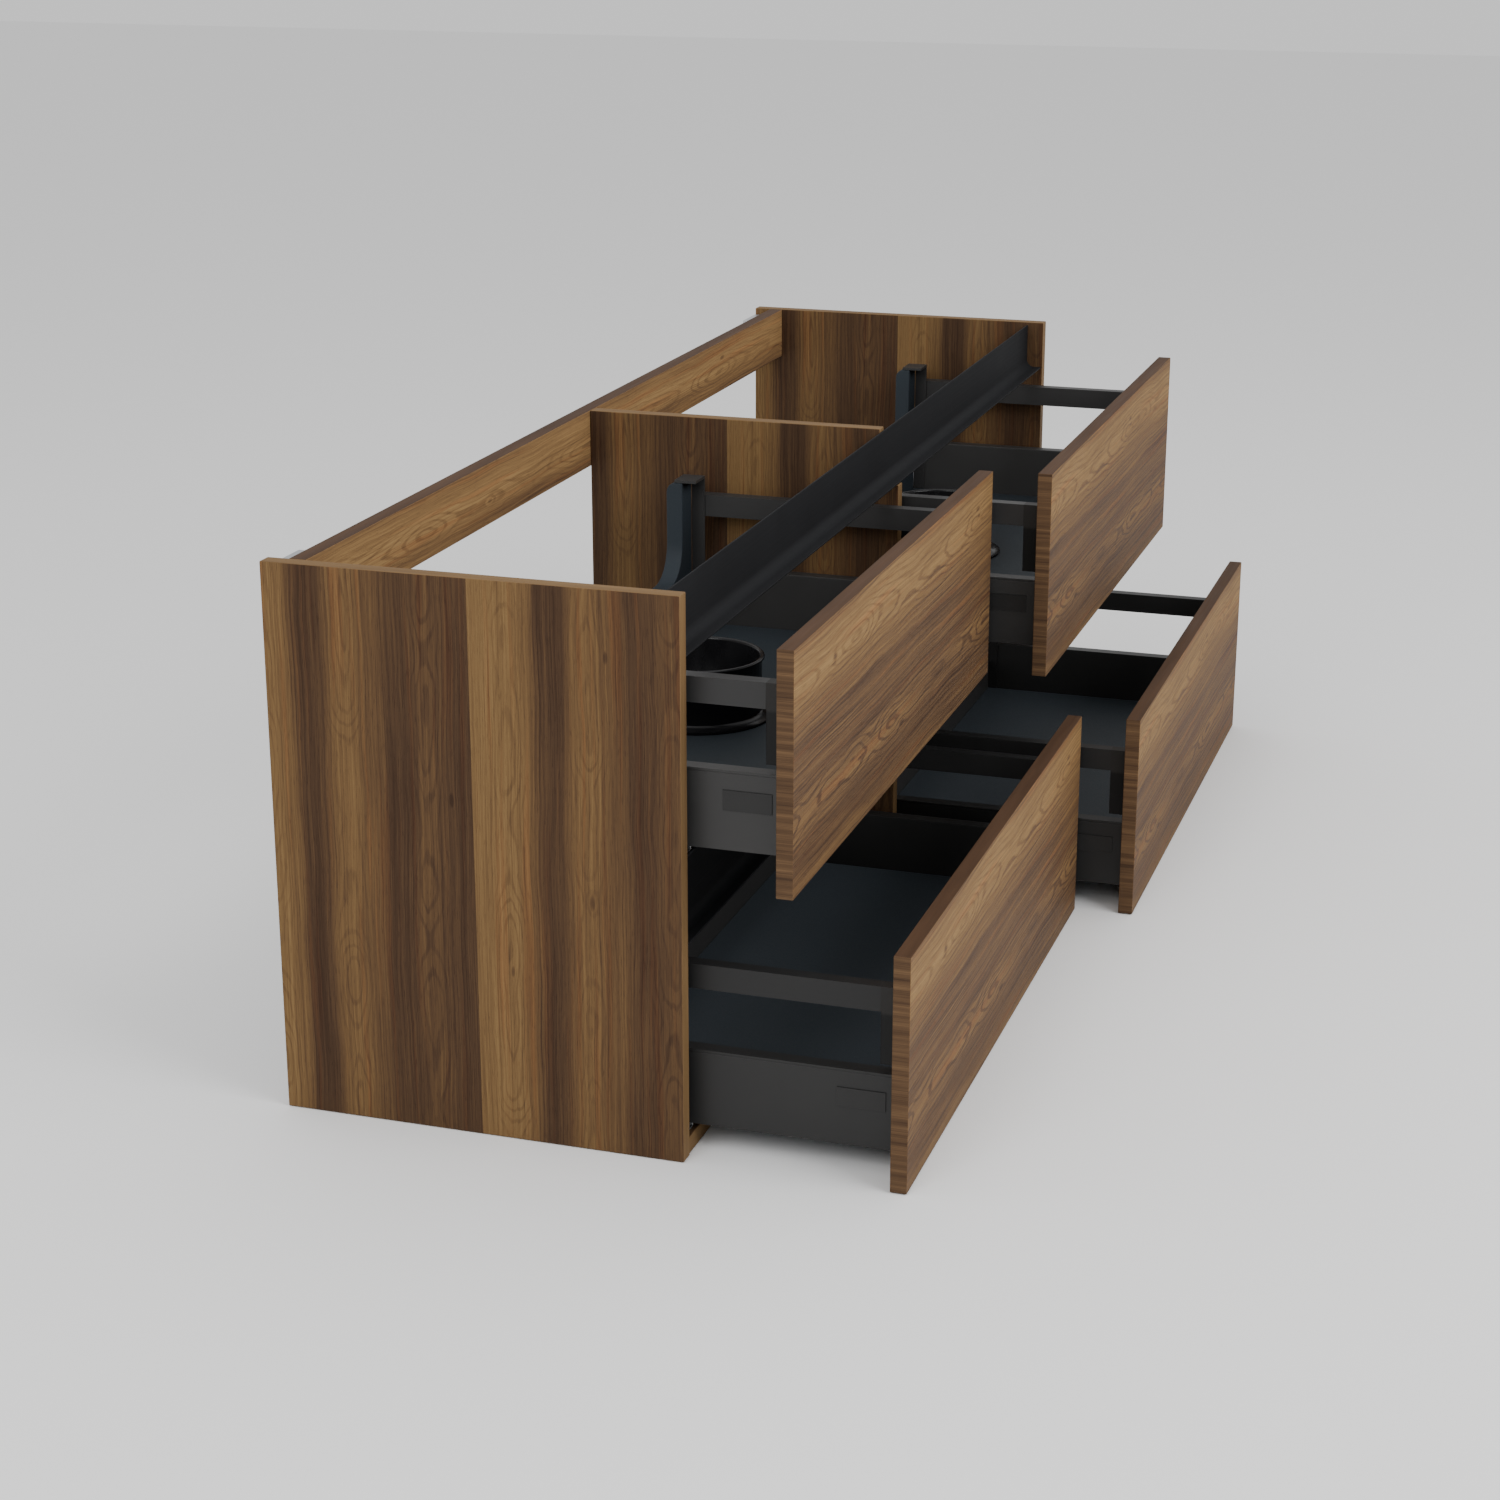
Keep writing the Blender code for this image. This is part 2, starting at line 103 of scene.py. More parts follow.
class Finish:
    """A value, colour or vector inside a material. Arithmetic on it adds Math nodes."""

    def __init__(self, tree, link=None):
        self.tree = tree
        self.link = link

    def node(self, kind, settings=None, inputs=None, output=0):
        made = self.tree.nodes.new(kind)
        for key, value in (settings or {}).items():
            if key == "stops":
                ramp = made.color_ramp
                while len(ramp.elements) < len(value):
                    ramp.elements.new(1.0)
                for element, (place, colour) in zip(ramp.elements, value):
                    element.position = place
                    shade = colour if isinstance(colour, tuple) else (colour,) * 3
                    element.color = (*shade, 1)
            else:
                setattr(made, key, value)
        for key, value in (inputs or {}).items():
            if isinstance(value, Finish):
                self.tree.links.new(value.link, made.inputs[key])
            else:
                made.inputs[key].default_value = value
        return Finish(self.tree, made.outputs[output])

    def maths(self, operation, first, second=0.0):
        return self.node("ShaderNodeMath", {"operation": operation}, {0: first, 1: second})

    def __add__(self, other):
        return self.maths("ADD", self, other)

    def __radd__(self, other):
        return self.maths("ADD", other, self)

    def __sub__(self, other):
        return self.maths("SUBTRACT", self, other)

    def __rsub__(self, other):
        return self.maths("SUBTRACT", other, self)

    def __mul__(self, other):
        return self.maths("MULTIPLY", self, other)

    def __rmul__(self, other):
        return self.maths("MULTIPLY", other, self)

    def __truediv__(self, other):
        return self.maths("DIVIDE", self, other)

    def noise(self, vector, scale, detail=2.0, roughness=0.5):
        sockets = {"Vector": vector, "Scale": scale, "Detail": detail, "Roughness": roughness}
        return self.node("ShaderNodeTexNoise", None, sockets, "Fac")

    def vector(self, x, y, z):
        return self.node("ShaderNodeCombineXYZ", None, {"X": x, "Y": y, "Z": z})

    def ramp(self, value, stops):
        return self.node("ShaderNodeValToRGB", {"stops": stops}, {"Fac": value})

    def smooth(self, value, low, high, start=0.0, end=1.0):
        sockets = {"Value": value, "From Min": low, "From Max": high, "To Min": start, "To Max": end}
        return self.node("ShaderNodeMapRange", {"interpolation_type": "SMOOTHSTEP"}, sockets)

    def mix(self, share, first, second, blend="MIX"):
        settings = {"data_type": "RGBA", "blend_type": blend}
        return self.node("ShaderNodeMix", settings, {"Factor": share, "A": first, "B": second}, "Result")


def new_finish(name, roughness=0.5, metallic=0.0, specular=0.5):
    """A material with the constant values of its surface, and the start of its pattern."""
    material = bpy.data.materials.new(name)
    material.use_nodes = True
    shader = material.node_tree.nodes["Principled BSDF"]
    shader.inputs["Roughness"].default_value = roughness
    shader.inputs["Metallic"].default_value = metallic
    shader.inputs["Specular IOR Level"].default_value = specular
    return material, Finish(material.node_tree)


def object_place(finish, shift=(0, 0, 0)):
    """Object coordinates moved by a shift, as three values in metres."""
    coordinates = finish.node("ShaderNodeTexCoord", output="Object")
    moved = finish.node("ShaderNodeMapping", None, {"Vector": coordinates, "Location": shift})
    return [finish.node("ShaderNodeSeparateXYZ", None, {"Vector": moved}, axis) for axis in range(3)]


def connect(material, **sockets):
    """Feed the shader's sockets; Bump takes a height in metres and feeds Normal."""
    tree = material.node_tree
    shader = tree.nodes["Principled BSDF"]
    for name, value in sockets.items():
        if name == "Bump":
            bump = value.node("ShaderNodeBump", None, {"Height": value, "Strength": 1.0, "Distance": 1.0})
            tree.links.new(bump.link, shader.inputs["Normal"])
        else:
            tree.links.new(value.link, shader.inputs[name.replace("_", " ")])


WALNUT_TONES = [
    (0.00, (0.042, 0.0238, 0.0150)),
    (0.20, (0.060, 0.0345, 0.0205)),
    (0.45, (0.098, 0.0560, 0.0282)),
    (0.70, (0.148, 0.0870, 0.0385)),
    (1.00, (0.218, 0.1340, 0.0570)),
]


# How fast each pattern changes along and across the grain, in cycles per metre.
SWAY_RATE = (3.0, 5.0)
WANDER_RATE = (9.0, 22.0)
STREAK_RATE = (2.6, 290.0)
FIBRE_RATE = (14.0, 950.0)
CLOUD_RATE = (5.0, 40.0)
RIPPLE_RATE = (15.0, 110.0)
PORE_RATE = (75.0, 1300.0)
VEIN_RATE = (2.8, 460.0)
BLUSH_RATE = (3.0, 120.0)
WANDER_REACH = 0.007
STREAK_REACH = 0.012
ROW_STEP = 3.7
KNOT_LENGTH = 3.2
KNOT_LIFT = 0.9
KNOT_DEPTH = 0.34
ARCH_FLATNESS = 1.6
RIPPLE_DEPTH = 1.1
TONE_SHARE = 0.84
TONE_BASE = 0.15
CLOUD_SHARE = 0.30
FIBRE_SHARE = 0.60
PORE_SHARE = 0.14
FIBRE_RELIEF = 0.00006
PORE_RELIEF = 0.00008
WOOD_SPECULAR = 0.04
PLAIN = (1, 1, 1, 1)
REDDISH = (1.06, 0.93, 0.90, 1)


def walnut(name, grain, across, shift, decor, knots=(), brightness=1.0, seed=0.0):
    """Walnut decor: broad bands across the board, arched figure, fine fibre and short dark pores."""
    material, wood = new_finish(name, specular=WOOD_SPECULAR)
    place = object_place(wood, shift)
    along = place[grain]
    over = place[across]

    def pattern(rate, sideways, start, detail, roughness=0.5):
        """Noise drawn out along the grain; start sets it apart from the other patterns."""
        point = wood.vector(along * rate[0], sideways * rate[1], seed + start)
        return wood.noise(point, 1.0, detail, roughness)

    sway = pattern(SWAY_RATE, over, 7.3, 1.0) - 0.5
    wander = pattern(WANDER_RATE, over, 0.0, 2.0) - 0.5
    bent = over + sway * decor["sway"] + wander * WANDER_REACH
    streak = pattern(STREAK_RATE, bent, 4.0, 4.0, 0.65) - 0.5
    fibre = pattern(FIBRE_RATE, bent, 0.0, 3.0, 0.6) - 0.5
    cloud = pattern(CLOUD_RATE, bent, 9.0, 2.0) - 0.5
    stave = wood.maths("FLOOR", over / decor["repeat"])
    tone = wood.ramp((bent + streak * STREAK_REACH) / decor["repeat"] - stave, decor["tones"])

    gap = decor["figure_gap"]
    turn = (bent - decor["figure_start"]) / gap
    row = wood.maths("ROUND", turn)
    near = wood.maths("ABSOLUTE", turn - row) * gap
    wave = wood.noise(wood.vector(along * decor["figure_rate"], row * ROW_STEP + seed, 2.0), 1.0, 2.0)
    lift = wood.smooth(wave, 0.22, 0.78, 0.0, decor["figure_depth"])
    dark_spots = 0.0
    for knot_along, knot_over, size in knots:
        reach = (along - knot_along) / (size * KNOT_LENGTH)
        aside = (over - knot_over + wander * 0.004) / size
        distance = reach * reach + aside * aside
        lift = lift + wood.smooth(distance, 0.0, 6.0, size * KNOT_LIFT, 0.0)
        dark_spots = dark_spots + wood.smooth(distance, 0.02, 1.0, KNOT_DEPTH, 0.0)
    radius = wood.maths("SQRT", near * near * ARCH_FLATNESS + lift * lift)
    ripple = pattern(RIPPLE_RATE, over, 1.0, 3.0) - 0.5
    rings = wood.maths("SINE", (radius / decor["ring"] + ripple * RIPPLE_DEPTH) * math.tau)
    edge = wood.smooth(rings, 0.25, 1.0)
    strength = wood.smooth(near, gap * 0.06, gap * 0.36, 1.0, 0.12)
    strength = strength * wood.smooth(cloud, -0.12, 0.16, 0.45, 1.0)

    pores = wood.smooth(pattern(PORE_RATE, over, 2.0, 1.0), 0.60, 0.70)
    veins = wood.smooth(pattern(VEIN_RATE, bent, 15.0, 2.0), 0.54, 0.66)
    level = tone * TONE_SHARE + TONE_BASE + cloud * CLOUD_SHARE
    level = level + streak * decor["streak"] + fibre * FIBRE_SHARE
    level = level - edge * strength * decor["ring_depth"] - pores * PORE_SHARE - dark_spots
    level = level - veins * decor["vein_depth"]
    stops = [(spot, tuple(part * brightness for part in rgb)) for spot, rgb in WALNUT_TONES]
    blush = pattern(BLUSH_RATE, bent, 12.0, 3.0)
    red = wood.mix(wood.smooth(blush, 0.52, 0.68), PLAIN, REDDISH)
    connect(material, Base_Color=wood.mix(1.0, wood.ramp(level, stops), red, "MULTIPLY"))
    connect(material, Roughness=wood.smooth(level, 0.0, 1.0, 0.52, 0.62))
    connect(material, Bump=fibre * FIBRE_RELIEF - pores * PORE_RELIEF)
    return material


BAND_RELIEF = 0.00005


def banding(name, grain, across, tones, seed=0.0, stripe=220.0, reach=11.0):
    """Edge band: thin decor strip whose streaks run with its grain."""
    material, strip = new_finish(name, specular=WOOD_SPECULAR)
    place = object_place(strip)
    along = place[grain]
    over = place[across]
    third = place[3 - grain - across]
    fibre = strip.noise(strip.vector(along * reach, over * stripe * 3.0, third * 300.0 + seed), 1.0, 3.0, 0.6)
    broad = strip.noise(strip.vector(along * reach * 0.6, over * stripe * 0.4, seed), 1.0, 2.0)
    level = fibre * 0.5 + broad * 0.5
    connect(material, Base_Color=strip.ramp(level, tones))
    connect(material, Roughness=strip.smooth(fibre, 0.3, 0.7, 0.48, 0.60))
    connect(material, Bump=fibre * BAND_RELIEF)
    return material


MERGE_DISTANCE = 0.00001
FLAT_ANGLE = 0.5
SMOOTH_ANGLE = 40
SHARP_ANGLE = 35


def copy_node(node):
    """A merged copy of a CAD node, as one clean mesh with flat faces, ready for edit mode."""
    bpy.ops.object.select_all(action="DESELECT")
    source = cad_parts[node]
    piece = bpy.data.objects.new(node + "_piece", source.data.copy())
    bpy.context.scene.collection.objects.link(piece)
    piece.data.materials.clear()
    bpy.context.view_layer.objects.active = piece
    piece.select_set(True)
    bpy.ops.object.mode_set(mode="EDIT")
    bpy.ops.mesh.select_all(action="SELECT")
    bpy.ops.mesh.remove_doubles(threshold=MERGE_DISTANCE)
    bpy.ops.mesh.dissolve_limited(angle_limit=math.radians(FLAT_ANGLE))
    bpy.ops.object.mode_set(mode="OBJECT")
    return piece


def soften(piece, width, segments=2):
    """Round every sharp edge a little and shade the rounding smoothly."""
    bpy.ops.object.select_all(action="DESELECT")
    bpy.context.view_layer.objects.active = piece
    piece.select_set(True)
    bevel = piece.modifiers.new("soft_edges", "BEVEL")
    bevel.width = width
    bevel.segments = segments
    bevel.limit_method = "ANGLE"
    bevel.angle_limit = math.radians(SHARP_ANGLE)
    bpy.ops.object.modifier_apply(modifier=bevel.name)
    bpy.ops.object.shade_smooth_by_angle(angle=math.radians(SMOOTH_ANGLE))
    flat_faces = piece.modifiers.new("flat_faces", "WEIGHTED_NORMAL")
    flat_faces.keep_sharp = True
    flat_faces.weight = 100
    bpy.ops.object.modifier_apply(modifier=flat_faces.name)


def choose(piece, test, domain="FACE"):
    """Select, in edit mode, only the faces or vertices whose place (and normal) pass a test."""
    bpy.ops.object.mode_set(mode="EDIT")
    bpy.ops.mesh.select_mode(type=domain)
    bpy.ops.mesh.select_all(action="DESELECT")
    bpy.ops.object.mode_set(mode="OBJECT")
    if domain == "FACE":
        for polygon in piece.data.polygons:
            polygon.select = test(polygon.center, polygon.normal)
    else:
        for vertex in piece.data.vertices:
            vertex.select = test(vertex.co, vertex.normal)
    bpy.ops.object.mode_set(mode="EDIT")


def slice_across(piece, point, normal):
    """Add a line of edges where a plane crosses the piece."""
    bpy.ops.object.mode_set(mode="EDIT")
    bpy.ops.mesh.select_all(action="SELECT")
    bpy.ops.mesh.bisect(plane_co=point, plane_no=normal)
    bpy.ops.object.mode_set(mode="OBJECT")


def clad(piece, face_axis, face, edges):
    """Face material on the two broad sides, and an edge band for each other direction."""
    axes = sorted(edges)
    for material in [face] + [edges[axis] for axis in axes]:
        piece.data.materials.append(material)
    for polygon in piece.data.polygons:
        sizes = [abs(part) for part in polygon.normal]
        main = sizes.index(max(sizes))
        polygon.material_index = 0 if main == face_axis else 1 + axes.index(main)


def stand_for(piece, node, body):
    """The finished piece takes a CAD node's place on its body."""
    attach(piece, body)
    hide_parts(node)


SIDE_DECOR = {
    "repeat": 0.222,
    "tones": [
        (0.000, 0.10), (0.060, 0.12), (0.120, 0.20), (0.170, 0.30), (0.225, 0.28), (0.260, 0.14),
        (0.350, 0.12), (0.395, 0.36), (0.460, 0.46), (0.515, 0.64), (0.585, 0.56), (0.615, 0.24),
        (0.650, 0.08), (0.715, 0.10), (0.755, 0.54), (0.820, 0.73), (0.930, 0.77), (1.000, 0.70),
    ],
    "sway": 0.010,
    "figure_start": 0.041,
    "figure_gap": 0.0745,
    "figure_rate": 5.0,
    "figure_depth": 0.034,
    "ring": 0.0046,
    "ring_depth": 0.17,
    "streak": 0.80,
    "vein_depth": 0.13,
}
SIDE_KNOTS = [(0.231, 0.114, 0.0028), (0.159, 0.189, 0.0020), (0.449, 0.099, 0.0022), (0.310, 0.241, 0.0026)]
GOLDEN_BAND = [(0.30, (0.132, 0.078, 0.036)), (0.50, (0.174, 0.105, 0.048)), (0.70, (0.218, 0.136, 0.064))]
side_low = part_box("side_panel_left")[0]
DECOR_START = 0.034
decor_shift = (0, -side_low.y + DECOR_START, 0)
side_face = walnut("walnut_upright", 2, 1, decor_shift, SIDE_DECOR, SIDE_KNOTS)
side_bands = {
    1: banding("band_upright", 2, 0, GOLDEN_BAND),
    2: banding("band_level", 1, 0, GOLDEN_BAND, seed=3.0),
}
PANEL_EDGE = 0.0009
for node in ("side_panel_left", "side_panel_right", "centre_divider"):
    panel = copy_node(node)
    soften(panel, PANEL_EDGE)
    clad(panel, 0, side_face, side_bands)
    stand_for(panel, node, "carcass")


# ---------------------------------------------------------------- bottom panel and back rail
# The same board laid with its grain along the cabinet. The rail is one long strip on edge,
# screwed between the side panels, with a dark band on its top edge.

DARK_BAND = [
    (0.30, (0.050, 0.0270, 0.0160)),
    (0.50, (0.070, 0.0385, 0.0225)),
    (0.70, (0.092, 0.0510, 0.0295)),
]
BOARD_EDGE = 0.0006
rail_low, rail_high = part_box("back_rail")
RAIL_DECOR = {
    "repeat": (rail_high.z - rail_low.z) * 1.35,
    "tones": [(0.0, 0.42), (0.2, 0.52), (0.38, 0.80), (0.55, 0.84), (0.75, 0.66), (0.9, 0.46), (1.0, 0.42)],
    "sway": 0.006,
    "figure_start": 0.031,
    "figure_gap": 0.081,
    "figure_rate": 3.4,
    "figure_depth": 0.030,
    "ring": 0.0046,
    "ring_depth": 0.24,
    "streak": 0.90,
    "vein_depth": 0.18,
}
RAIL_KNOTS = [(1.123, 0.046, 0.0030), (0.400, 0.029, 0.0022)]
RAIL_START = 0.006
rail_shift = (-rail_low.x, 0, -rail_low.z + RAIL_START)
rail_face = walnut("walnut_rail", 0, 2, rail_shift, RAIL_DECOR, RAIL_KNOTS, brightness=1.8, seed=5.0)
bottom_face = walnut("walnut_bottom", 0, 1, decor_shift, SIDE_DECOR, seed=8.0)
dark_band = banding("band_dark", 0, 1, DARK_BAND, seed=1.0)
long_band = banding("band_long", 0, 2, GOLDEN_BAND, seed=2.0)
for node, face_axis, face, edges in (
    ("back_rail", 1, rail_face, {0: side_bands[1], 2: dark_band}),
    ("bottom_panel", 2, bottom_face, {0: side_bands[1], 1: long_band}),
):
    board = copy_node(node)
    soften(board, BOARD_EDGE)
    clad(board, face_axis, face, edges)
    stand_for(board, node, "carcass")


# ---------------------------------------------------------------- grip profiles
# Extruded aluminium, matt black, run from side to side: a J along the top and a C between
# the rows. Their curved channels are where fingers reach behind the drawer fronts.

GRAIN_SCALE = 2600.0
GRAIN_RELIEF = 0.000012
LINE_RELIEF = 0.00001
LINE_SPACING = 900.0
LINE_STRETCH = 6.0


def coated_metal(name, colour, roughness, metallic=0.0, mottle=0.05, brushed=None, specular=0.28):
    """Coated metal: a fine grain, slight mottling, uneven gloss, and lines along a brushed axis."""
    material, coat = new_finish(name, metallic=metallic, specular=specular)
    x, y, z = object_place(coat)
    point = coat.vector(x, y, z)
    grain = coat.noise(point, GRAIN_SCALE, 2.0, 0.6)
    patch = coat.noise(point, 14.0, 3.0, 0.55)
    share = coat.smooth(patch, 0.25, 0.75, 0.0, 1.0)
    dark = tuple(c * (1 - mottle) for c in colour) + (1,)
    pale = tuple(c * (1 + mottle) for c in colour) + (1,)
    tint = coat.mix(share, dark, pale)
    gloss = coat.smooth(patch, 0.25, 0.75, roughness - 0.03, roughness + 0.04)
    height = grain * GRAIN_RELIEF
    if brushed is not None:
        stretch = [LINE_SPACING] * 3
        stretch[brushed] = LINE_STRETCH
        lines = coat.noise(coat.vector(x * stretch[0], y * stretch[1], z * stretch[2]), 1.0, 2.0)
        gloss = gloss + (lines - 0.5) * 0.12
        height = height + lines * LINE_RELIEF
    connect(material, Base_Color=tint, Roughness=gloss, Bump=height)
    return material


grip_colour = (0.0165, 0.0169, 0.0184)
grip_black = coated_metal("black_anodised", grip_colour, 0.66, mottle=0.08, brushed=0, specular=0.04)
GRIP_EDGE = 0.0004
for node in ("top_grip_profile", "middle_grip_profile"):
    grip = copy_node(node)
    soften(grip, GRIP_EDGE)
    grip.data.materials.append(grip_black)
    stand_for(grip, node, "carcass")


# ---------------------------------------------------------------- runners and wall hangers
# Folded zinc-plated steel: a rail screwed to the carcass below each drawer side, a sliding
# member inside it, and a hanger behind each end of the back rail.

zinc = coated_metal("zinc_plate", (0.50, 0.51, 0.53), 0.34, metallic=1.0, mottle=0.10, brushed=1)
SCREW_RADIUS = 0.0038
SCREW_HEIGHT = 0.0020
SCREW_SEGMENTS = 24
SLOT_WIDTH = 0.0009
SLOT_DEPTH = 0.0012
RUNNER_SHEET = 0.0012
SCREW_RUNNER_Z = 0.0215
SCREW_PLACES = (0.037, 0.165, 0.261)
SCREW_ROUNDING = 0.55
SCREW_SMOOTH_ANGLE = 30
RUNNER_EDGE = 0.0003
HANGER_EDGE = 0.0006
HANGER_SCREW_HEIGHTS = (0.010, 0.026)
HANGER_SEAT = 0.004


def pan_head_screw():
    """A pan-head screw facing +X at the origin, with a cross recess."""
    bpy.ops.object.select_all(action="DESELECT")
    bpy.ops.mesh.primitive_cylinder_add(
        vertices=SCREW_SEGMENTS, radius=SCREW_RADIUS, depth=SCREW_HEIGHT,
        location=(SCREW_HEIGHT / 2, 0, 0), rotation=(0, math.radians(90), 0),
    )
    head = bpy.context.object
    head.name = "screw_pattern"
    bpy.ops.object.transform_apply(location=True, rotation=True, scale=True)
    choose(head, lambda _, normal: normal.x > 0.9)
    bpy.ops.mesh.bevel(offset=SCREW_HEIGHT * SCREW_ROUNDING, segments=4, affect="EDGES")
    bpy.ops.object.mode_set(mode="OBJECT")
    for size in ((SLOT_WIDTH, SCREW_RADIUS * 1.1), (SCREW_RADIUS * 1.1, SLOT_WIDTH)):
        bpy.ops.mesh.primitive_cube_add(size=1, location=(SCREW_HEIGHT, 0, 0), scale=(SLOT_DEPTH * 2, *size))
        cutter = bpy.context.object
        bpy.ops.object.transform_apply(location=True, rotation=True, scale=True)
        recess = head.modifiers.new("recess", "BOOLEAN")
        recess.operation = "DIFFERENCE"
        recess.object = cutter
        bpy.ops.object.select_all(action="DESELECT")
        bpy.context.view_layer.objects.active = head
        head.select_set(True)
        bpy.ops.object.modifier_apply(modifier=recess.name)
        bpy.data.objects.remove(cutter)
    bpy.ops.object.shade_smooth_by_angle(angle=math.radians(SCREW_SMOOTH_ANGLE))
    head.data.materials.append(zinc)
    return head


def place_screw(pattern, name, place, turn):
    """A copy of the screw, turned about Z and set down with its seat at a place."""
    screw = bpy.data.objects.new(name, pattern.data.copy())
    bpy.context.scene.collection.objects.link(screw)
    screw.location = place
    screw.rotation_euler = (0, 0, math.radians(turn))
    bpy.ops.object.select_all(action="DESELECT")
    bpy.context.view_layer.objects.active = screw
    screw.select_set(True)
    bpy.ops.object.transform_apply(location=True, rotation=True, scale=True)
    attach(screw, "carcass")


screw_pattern = pan_head_screw()
for row in ("upper", "lower"):
    for column in ("left", "right"):
        for side in ("left", "right"):
            rail_node = f"{row}_{column}_cabinet_runner_{side}"
            slide_node = f"{row}_{column}_slide_{side}"
            rail = copy_node(rail_node)
            soften(rail, RUNNER_EDGE)
            rail.data.materials.append(zinc)
            stand_for(rail, rail_node, "carcass")
            low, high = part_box(rail_node)
            seat = low.x + RUNNER_SHEET if side == "left" else high.x - RUNNER_SHEET
            turn = 0 if side == "left" else 180
            for number, distance in enumerate(SCREW_PLACES, 1):
                place = (seat, low.y + distance, low.z + SCREW_RUNNER_Z)
                place_screw(screw_pattern, f"{row}_{column}_screw_{side}_{number}", place, turn)
            slide = copy_node(slide_node)
            soften(slide, RUNNER_EDGE)
            slide.data.materials.append(zinc)
            stand_for(slide, slide_node, f"{row}_{column}_runners")
for side in ("left", "right"):
    hanger = copy_node(f"wall_hanger_{side}")
    soften(hanger, HANGER_EDGE)
    hanger.data.materials.append(zinc)
    stand_for(hanger, f"wall_hanger_{side}", "carcass")
    low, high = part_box(f"wall_hanger_{side}")
    for number, height in enumerate(HANGER_SCREW_HEIGHTS, 1):
        place = ((low.x + high.x) / 2, low.y + HANGER_SEAT, low.z + height)
        place_screw(screw_pattern, f"hanger_screw_{side}_{number}", place, 90)
bpy.data.objects.remove(screw_pattern)


# ---------------------------------------------------------------- drawer fronts
# One board per drawer with the grain lying along it: a golden band of arched figure near the
# top, darker bands below. Short streaks cross the end bands and the long edges are dark.

front_low, front_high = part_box("upper_left_front")
FRONT_DECOR = {
    "repeat": (front_high.z - front_low.z) * 1.0001,
    "tones": [
        (0.00, 0.40), (0.07, 0.36), (0.12, 0.20), (0.18, 0.24), (0.23, 0.44), (0.31, 0.48),
        (0.37, 0.40), (0.41, 0.20), (0.46, 0.36), (0.54, 0.34), (0.58, 0.18), (0.62, 0.42),
        (0.70, 0.50), (0.76, 0.72), (0.86, 0.88), (0.94, 0.78), (1.00, 0.52),
    ],
    "sway": 0.012,
    "figure_start": 0.0638,
    "figure_gap": 0.114,
    "figure_rate": 3.6,
    "figure_depth": 0.042,
    "ring": 0.0056,
    "ring_depth": 0.34,
    "streak": 1.05,
    "vein_depth": 0.24,
}
FRONT_KNOTS = [
    (0.120, 0.178, 0.0030), (0.345, 0.052, 0.0034), (0.635, 0.190, 0.0030), (0.200, 0.061, 0.0022),
    (0.640, 0.182, 0.0020),
]
END_BAND = [
    (0.34, (0.047, 0.0280, 0.0180)),
    (0.50, (0.090, 0.0525, 0.0290)),
    (0.66, (0.150, 0.0890, 0.0460)),
]
end_band = banding("band_front_end", 1, 2, END_BAND, seed=6.0, stripe=520.0, reach=10.0)
front_long_band = banding("band_front_long", 0, 1, DARK_BAND, seed=4.0)
DECOR_SLIP = {"left": 0.0, "right": 0.2}
FRONT_BRIGHTNESS = 1.28
FRONT_EDGE = 0.0007
for row in ("upper", "lower"):
    for column in ("left", "right"):
        node = f"{row}_{column}_front"
        low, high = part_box(node)
        name = f"walnut_{row}_{column}_front"
        shift = (-low.x + DECOR_SLIP[column], 0, -low.z)
        face = walnut(name, 0, 2, shift, FRONT_DECOR, FRONT_KNOTS, FRONT_BRIGHTNESS, seed=11.0)
        front = copy_node(node)
        soften(front, FRONT_EDGE)
        clad(front, 1, face, {0: end_band, 2: front_long_band})
        stand_for(front, node, f"{row}_{column}_drawer")


# ---------------------------------------------------------------- drawer sides and galleries
# Double-walled sides folded from sheet steel, powder coated anthracite, with an aluminium
# gallery rail above held by a block at the front and a sheet bracket at the rear. The lower
# drawers' steel and rails carry painted shade: they have the same finish as the upper row's,
# coloured darker for the shade that falls on the lower row.

# The lower entry is painted shade: the same anthracite coating, coloured darker for the lower row.
anthracite = {
    "upper": coated_metal("anthracite_upper", (0.0345, 0.0338, 0.0332), 0.42),
    "lower": coated_metal("anthracite_lower_painted_shade", (0.0205, 0.0202, 0.0199), 0.42),
}
# The lower entry is painted shade: the same rail coating, coloured darker for the lower row.
gallery_grey = {
    "upper": coated_metal("gallery_upper", (0.0290, 0.0285, 0.0285), 0.44, brushed=1),
    "lower": coated_metal("gallery_lower_painted_shade", (0.0150, 0.0148, 0.0148), 0.44, brushed=1),
}
# The head colour is painted sheen on the black moulding; the leg colour is the moulding's own black.
CONNECTOR_HEAD_SHEEN = (0.0190, 0.0175, 0.0165, 1)
CONNECTOR_LEG = (0.0045, 0.0044, 0.0043, 1)
RAIL_DEPTH = 0.0254
LEG_BLEND = 0.0040
leg_low, leg_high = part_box("lower_left_gallery_left")
LEG_HEIGHT = leg_high.z - RAIL_DEPTH - leg_low.z
cap_grey = coated_metal("cap_moulding", (0.0205, 0.0200, 0.0197), 0.46)
LIP = 0.0020
LIP_GROOVE = 0.0009
GROOVE_DEPTH = 0.0005
SKIN_DEPTH = 0.002
CREASE = 0.019
CREASE_PULL = 0.0010
BLOCK_LENGTH = 0.018
BLOCK_RECESS = 0.0007
CAP_THICKNESS = 0.0009
CAP_START = 0.0120
CAP_LENGTH = 0.0435
CAP_BOTTOM = 0.0360
CAP_HEIGHT = 0.0180
CAP_RIM = 0.0014
CAP_SINK = 0.45
CAP_SEAT = 0.0001
BLOCK_BORDER = 0.0006
BLOCK_MIDDLE = 0.004
WALL_EDGE = 0.0003
CAP_EDGE = 0.0002
GALLERY_EDGE = 0.0005
TOUCH = 0.0001


